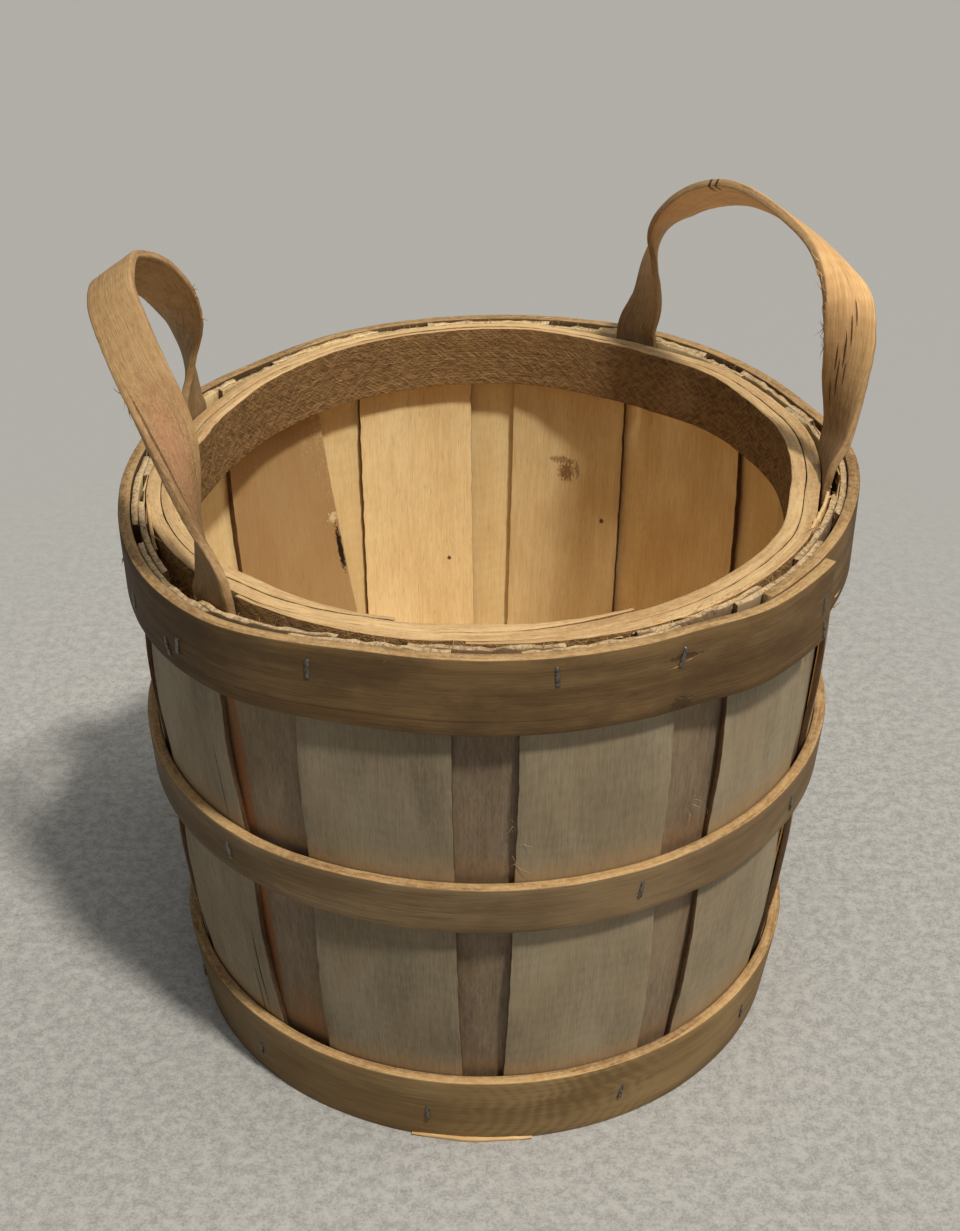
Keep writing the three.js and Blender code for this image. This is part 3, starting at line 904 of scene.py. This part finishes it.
# Staples
# Dull steel wire staples, about 8 mm across the crown, driven through each hoop into the staves.
# The crowns stand upright or a little slanted.
staple_crown = 0.0074
staple_wire_width = 0.0013
staple_wire_thickness = 0.0007
staple_bend = 0.0009
staple_leg = 0.0022
staple_proud_share = 0.25
bend_steps = 4

staple_steel, steel, steel_shader = new_material("staple_steel")
steel_place = wire(steel, "ShaderNodeTexCoord")["Object"]
steel_noise = stretched_noise(steel, steel_place, (900, 900, 900), 4.0)
feed(steel, steel_shader, {
    "Metallic": 0.85, "Roughness": ramp(steel, steel_noise, -0.3, 1.2),
    "Base Color": mix(steel, ramp(steel, steel_noise, 0.4, 0.7), srgb(120, 118, 112), srgb(78, 66, 54)),
})


def around(azimuth):
    """The way outwards and the way round to the right, at an azimuth."""
    out = unsettled(azimuth, 1, 0)
    return out, Vector((0, 0, 1)).cross(out)


def extrude(bm, faces, capped=False):
    """Grows a wire on from its end faces, which stay only where they cap it. Gives verts and faces."""
    grown = bmesh.ops.extrude_face_region(bm, geom=faces)["geom"]
    if not capped:
        bmesh.ops.delete(bm, geom=faces, context="FACES_ONLY")
    kinds = bmesh.types.BMVert, bmesh.types.BMFace
    return [[item for item in grown if isinstance(item, kind)] for kind in kinds]


def staple_wire(bm):
    """One staple, lying along X with its legs down -Z: a flat wire bent twice."""
    half = staple_crown / 2
    everything = start = bmesh.ops.create_grid(bm, x_segments=1, y_segments=1, size=0.5)["verts"]
    bmesh.ops.scale(bm, vec=(staple_wire_thickness, staple_wire_width, 1), verts=start)
    bmesh.ops.translate(bm, vec=(-half, 0, -staple_leg - staple_bend), verts=start)
    faces = list({face for vert in start for face in vert.link_faces})
    bend = Matrix.Rotation(radians(90 / bend_steps), 3, "Y")
    for step, corner in (
        ((0, 0, staple_leg), -half + staple_bend),
        ((staple_crown - 2 * staple_bend, 0, 0), half - staple_bend), ((0, 0, -staple_leg), None)):
        verts, faces = extrude(bm, faces, capped=everything is start)
        bmesh.ops.translate(bm, vec=step, verts=verts)
        everything = everything + verts
        for _ in range(0 if corner is None else bend_steps):
            verts, faces = extrude(bm, faces)
            bmesh.ops.rotate(bm, cent=(corner, 0, -staple_bend), matrix=bend, verts=verts)
            everything = everything + verts
    return everything


def staples(name, places, over):
    """places: azimuth, level and slant of each crown. over: how far it lies outside the wall."""
    bm = bmesh.new()
    for azimuth, level, slant in places:
        out, side = around(azimuth)
        up = Vector((0, 0, 1))
        cosine, sine = cos(radians(slant)), sin(radians(slant))
        turned_up = up * cosine + side * sine
        turned_side = side * cosine - up * sine
        radius = wall_radius(level) + over + staple_wire_thickness * staple_proud_share
        middle = unsettled(azimuth, radius, level)
        for vert in staple_wire(bm):
            vert.co = settle(middle + turned_up * vert.co.x + turned_side * vert.co.y + out * vert.co.z)
    face_outwards(bm)
    show(name, bm, [staple_steel])


on_hoop = clearance + hoop_thickness
rim_staples = (
    (-24.3, 0.2165, 2), (9.4, 0.2185, -4), (27, 0.2172, 14), (-49.4, 0.204, -10), (-46.4, 0.208, 12),
    (-62, 0.206, 4), (95, 0.212, 3), (128, 0.214, -5), (160, 0.213, 4), (196, 0.214, -3), (228, 0.212, 6),
    (262, 0.211, -4),
)
middle_staples = (
    (-42.9, 0.1215, -12), (24, 0.1225, 8), (58, 0.121, -5), (92, 0.122, 4), (125, 0.121, -6),
    (155, 0.122, 3), (188, 0.121, 5), (200, 0.122, -4), (235, 0.121, 7), (270, 0.122, -3),
)
foot_staples = (
    (-45.4, 0.014, 3), (-9.8, 0.0145, -2), (25.3, 0.0165, 10), (57.2, 0.0165, -3), (90, 0.015, 4),
    (122, 0.016, -5), (142, 0.015, 3), (152, 0.016, -4), (195, 0.015, 5), (228, 0.016, -3),
    (262, 0.015, 4), (290, 0.015, -4),
)
staples("rim_hoop_staples", rim_staples, on_hoop)
staples("rim_lap_staples", ((53.5, 0.212, 3), (54.5, 0.2015, -8)), 2 * on_hoop)
staples("middle_hoop_staples", middle_staples, on_hoop)
staples("foot_hoop_staples", foot_staples, on_hoop)

# Splinters
# Fibres that tore where the splints were cut, bent and stapled. Most stand on the stave tops and in
# the slot beside the inner hoop, and a few curl off the hoops, the staves and the handles' edges.
lap_lift = 0.0046
torn_wood = wood(
    "torn_wood", (212, 180, 130), (178, 142, 94), (130, 92, 56), (0.6, 0.3, 0.4, 0.25),
    patches=(0.4, (176, 136, 86)), contrast=0.8, relief=0.0001)


def sliver(bm, start, way, side, length, width, curl, steps=6, thickness=0.4):
    """One torn fibre. It leaves start along way, bends by curl degrees about side, and thins to a tip."""
    way, side = way.normalized(), side.normalized()
    through = way.cross(side).normalized()
    ring = bmesh.ops.create_circle(bm, cap_ends=True, segments=4, radius=width / 2)["verts"]
    turned = Matrix((side, through * thickness, way)).transposed().to_4x4()
    bmesh.ops.transform(bm, matrix=Matrix.Translation(start) @ turned, verts=ring)
    end = [face for face in ring[0].link_faces if len(face.verts) == 4][:1]
    centre = start.copy()
    for step in range(steps):
        verts, end = extrude(bm, end, capped=step == 0)
        stride = way * length / steps
        bmesh.ops.translate(bm, vec=stride, verts=verts)
        centre += stride
        bend = Matrix.Rotation(radians(curl / steps), 3, side)
        way = bend @ way
        bmesh.ops.rotate(bm, cent=centre, matrix=bend, verts=verts)
        taper = 0.93 - 0.5 * (step + 1) / steps
        bmesh.ops.scale(bm, vec=(taper, taper, taper), space=Matrix.Translation(-centre), verts=verts)


def torn_fibres(name, fill):
    bm = bmesh.new()
    fill(bm)
    lay(bm, lambda flat: flat, tone=lambda flat: 0.5 + noise.noise(flat * 400))
    show(name, bm, [torn_wood])


def scatter(pick, stretches):
    """Places by chance in each stretch of the rim: the azimuth, the way outwards and the way round."""
    for low, high, count in stretches:
        for _ in range(count):
            azimuth = pick(low, high)
            yield azimuth, *around(azimuth)


def stave_top_fuzz(bm):
    pick = random.Random(11).uniform
    stretches = ((-62, 58, 120), (60, 104, 60), (104, 172, 70), (178, 250, 70))
    for azimuth, out, round_way in scatter(pick, stretches):
        radius = wall_radius(rim_level) - pick(0.0002, wall_depth)
        way = Vector((0, 0, 1)) + out * pick(-0.9, 0.7) + round_way * pick(-1.2, 1.2)
        start = at(azimuth, radius, rim_level - stave_top_drop - 0.0006)
        sliver(bm, start, way, round_way + out * 0.3, pick(0.0012, 0.0034),
               pick(0.00014, 0.00035), pick(-80, 80), steps=3)


def slot_splinters(bm):
    chance = random.Random(5)
    pick = chance.uniform
    for azimuth, out, round_way in scatter(pick, ((58, 100, 26), (-82, -56, 10), (16, 40, 8))):
        radius = wall_radius(rim_level) - wall_depth - pick(-0.0022, 0.0018)
        turn = chance.choice((-1, 1))
        rise = Vector((0, 0, pick(0.0, 0.35)))
        way = round_way * turn + rise + out * pick(-0.25, 0.1)
        start = at(azimuth, radius, rim_level - pick(0.0005, 0.0025))
        sliver(bm, start, way, out, pick(0.005, 0.014), pick(0.0005, 0.0013),
               turn * pick(-10, 45), thickness=0.35)


root_depth = 0.0002


def on_wall(azimuth, level, lift=0.0):
    """A root for a fibre, just under the face that it grows from."""
    return at(azimuth, wall_radius(level) + lift - root_depth, level)


def hoop_splinters(bm):
    pick = random.Random(8).uniform
    for azimuth, level, turn, length, width, curl, rise in (
        (27.2, 0.2152, 1, 0.006, 0.0007, 14, 0.2), (26.6, 0.2143, -1, 0.005, 0.0006, -12, -0.15),
        (-75.0, 0.206, -1, 0.009, 0.0012, 10, -0.9), (-14.0, 0.2218, 1, 0.006, 0.0004, 40, 0.9),
        (57.0, 0.2, 1, 0.006, 0.001, 20, -0.4), (57.5, 0.206, 1, 0.005, 0.0008, -20, 0.2),
        (57.2, 0.2105, 1, 0.004, 0.0007, 30, 0.3), (-33.0, 0.03, 1, 0.004, 0.0004, 20, 0.5),
    ):
        out, round_way = around(azimuth)
        start = on_wall(azimuth, level, on_hoop + (lap_lift if azimuth > 50 else 0))
        way = round_way * turn + out * 0.12 + Vector((0, 0, rise))
        sliver(bm, start, way, out, length, width, curl, thickness=0.3)
    for azimuth, level, count in (
        (4.5, 0.152, 7), (-44, 0.1, 3), (-62, 0.112, 4), (33.5, 0.15, 4), (4.0, 0.143, 4),
    ):
        out, round_way = around(azimuth)
        for _ in range(count):
            start = at(
                azimuth + pick(-0.6, 0.6), wall_radius(level) - root_depth, level + pick(-0.006, 0.006))
            rise = pick(-0.4, 1), pick(-0.8, 0.9)
            way = round_way * rise[0] + out * 0.25 + Vector((0, 0, rise[1]))
            sliver(bm, start, way, out, pick(0.004, 0.011), 0.0003, pick(-110, 110), steps=8)
    for azimuth, level, rise, length in ((-80, 0.103, -0.9, 0.013), (-79, 0.078, 0.9, 0.016)):
        out, round_way = around(azimuth)
        way = out + Vector((0, 0, rise)) + round_way * 0.3
        sliver(bm, on_wall(azimuth, level), way, round_way, length, 0.0009, 25)


torn_fibres("stave_top_fibres", stave_top_fuzz)
torn_fibres("slot_splinters", slot_splinters)
torn_fibres("hoop_splinters", hoop_splinters)


def handle_splinters(bm):
    chance = random.Random(3)
    pick = chance.uniform
    for handle, low, high, edge, count in (
        (handles[0], 0.66, 0.8, -1, 24), (handles[1], 0.5, 0.62, 1, 12), (handles[1], 0.2, 0.34, 1, 12),
        (handles[1], 0.68, 0.8, -1, 8),
    ):
        frames, _ = handle_frames(**handle)
        for _ in range(count):
            index = round(pick(low, high) * handle_steps)
            point, across, through = frames[index]
            along = (frames[index + 1][0] - frames[index - 1][0]).normalized() * chance.choice((-1, 1))
            start = settle(point + across * edge * (strip_width / 2 - 0.0003)
                           + through * pick(-0.4, 0.4) * strip_thickness)
            way = along + across * edge * pick(0.15, 0.7) + through * pick(-0.3, 0.3)
            sliver(bm, start, way, through, pick(0.002, 0.0055), pick(0.0005, 0.001), pick(-50, 50), steps=4)


torn_fibres("handle_splinters", handle_splinters)

veneer_warp = 0.0006
veneer_end_run = 0.008


def veneer(name, start, end, height, thickness, radius, top, seed, taper=0.002):
    """A torn layer of a splint that stands or lies where it came off, its free edge ragged."""
    length = radians(end - start) * rim_radius
    bm = splint(length, height, thickness, thickness / 4, max(20, round(length * 1500)), 6)

    def place(flat):
        free = smooth(flat.y / height + 0.5)
        near_end = smooth(min(flat.x, length - flat.x) / veneer_end_run)
        bite = ripple(flat.x * 210, seed, 0) + 0.6 * ripple(flat.x * 620, seed, 3)
        level = top + (flat.y - height / 2) * near_end + taper * free * bite - (1 - near_end) * height * 0.4
        warp = veneer_warp * ripple(flat.x * 60, flat.y * 90, seed)
        return at(start + (end - start) * flat.x / length, radius + flat.z + warp, max(0.0001, level))

    lay(bm, place, offset=0.9 * seed, tone=0.6)
    show(name, bm, [torn_wood])


slot_middle = wall_radius(rim_level) - wall_depth
veneer("slot_veneer_right", 60, 79, 0.014, 0.0011, slot_middle - 0.0014, 0.2262, 1)
veneer("slot_veneer_front", 22, 47, 0.012, 0.0009, slot_middle - 0.0011, 0.2258, 2)
veneer("slot_veneer_left", -79, -64, 0.014, 0.0012, slot_middle - 0.0016, 0.2266, 3)
veneer("foot_veneer", -13, 9, 0.0016, 0.0022, foot_radius + on_hoop + 0.0002, 0.0014, 4, 0.0002)

# Floor and light
# A pale mottled counter that fades to a plain tone far off. One lamp from the right front casts the
# shadow, and two wide ones and the sky soften it.
floor_size = 16.0
floor_mesh = bpy.data.meshes.new("floor")
floor_bm = bmesh.new()
bmesh.ops.create_grid(floor_bm, x_segments=1, y_segments=1, size=floor_size / 2)
floor_bm.to_mesh(floor_mesh)
floor_bm.free()
floor = bpy.data.objects.new("floor", floor_mesh)
bpy.context.scene.collection.objects.link(floor)
floor_stone, stone, stone_shader = new_material("floor_stone")
floor_mesh.materials.append(floor_stone)
stone_place = wire(stone, "ShaderNodeTexCoord")["Object"]
reach = wire(stone, "ShaderNodeVectorMath", {0: stone_place}, operation="LENGTH")["Value"]
near = calc(stone, "SUBTRACT", 1.0, ramp(stone, reach, 0.2, 0.55))
mottle = stretched_noise(stone, stone_place, (190, 190, 190), 6.0, 0.85)
grit = stretched_noise(stone, stone_place, (900, 900, 900), 4.0, 0.75)
grit_share = times(stone, ramp(stone, grit, 0.44, 0.58), 0.35)
speck = ramp(stone, stretched_noise(stone, stone_place, (330, 330, 330), 2.0, 0.5), 0.66, 0.72)
stone_colour = mix(stone, ramp(stone, mottle, 0.38, 0.62), srgb(136, 135, 131), srgb(168, 166, 161))
stone_colour = mix(stone, grit_share, stone_colour, srgb(182, 180, 174))
stone_colour = mix(stone, times(stone, speck, 0.3), stone_colour, srgb(116, 113, 106))
stone_colour = mix(stone, near, srgb(157, 157, 154), stone_colour)
feed(stone, stone_shader, {"Base Color": stone_colour, "Roughness": 0.6, "Specular IOR Level": 0.2})

world = bpy.data.worlds.new("studio")
world.use_nodes = True
feed(world.node_tree, world.node_tree.nodes["Background"], {"Color": srgb(232, 235, 238), "Strength": 0.25})
bpy.context.scene.world = world


def far_lamp(name, way, spread, strength):
    """A lamp far off in one direction, so that it lights all of the counter alike."""
    data = bpy.data.lights.new(name, "SUN")
    data.angle = radians(spread)
    data.energy = strength
    data.color = srgb(255, 250, 242)[:3]
    made = bpy.data.objects.new(name, data)
    made.rotation_euler = (-Vector(way)).to_track_quat("-Z", "Y").to_euler()
    bpy.context.scene.collection.objects.link(made)


far_lamp("key_lamp", (0.5, -0.65, 1.55), 5, 2.95)
far_lamp("right_lamp", (1.0, 0.1, 0.9), 25, 0.5)
far_lamp("top_lamp", (0.05, -0.2, 1.0), 30, 0.6)
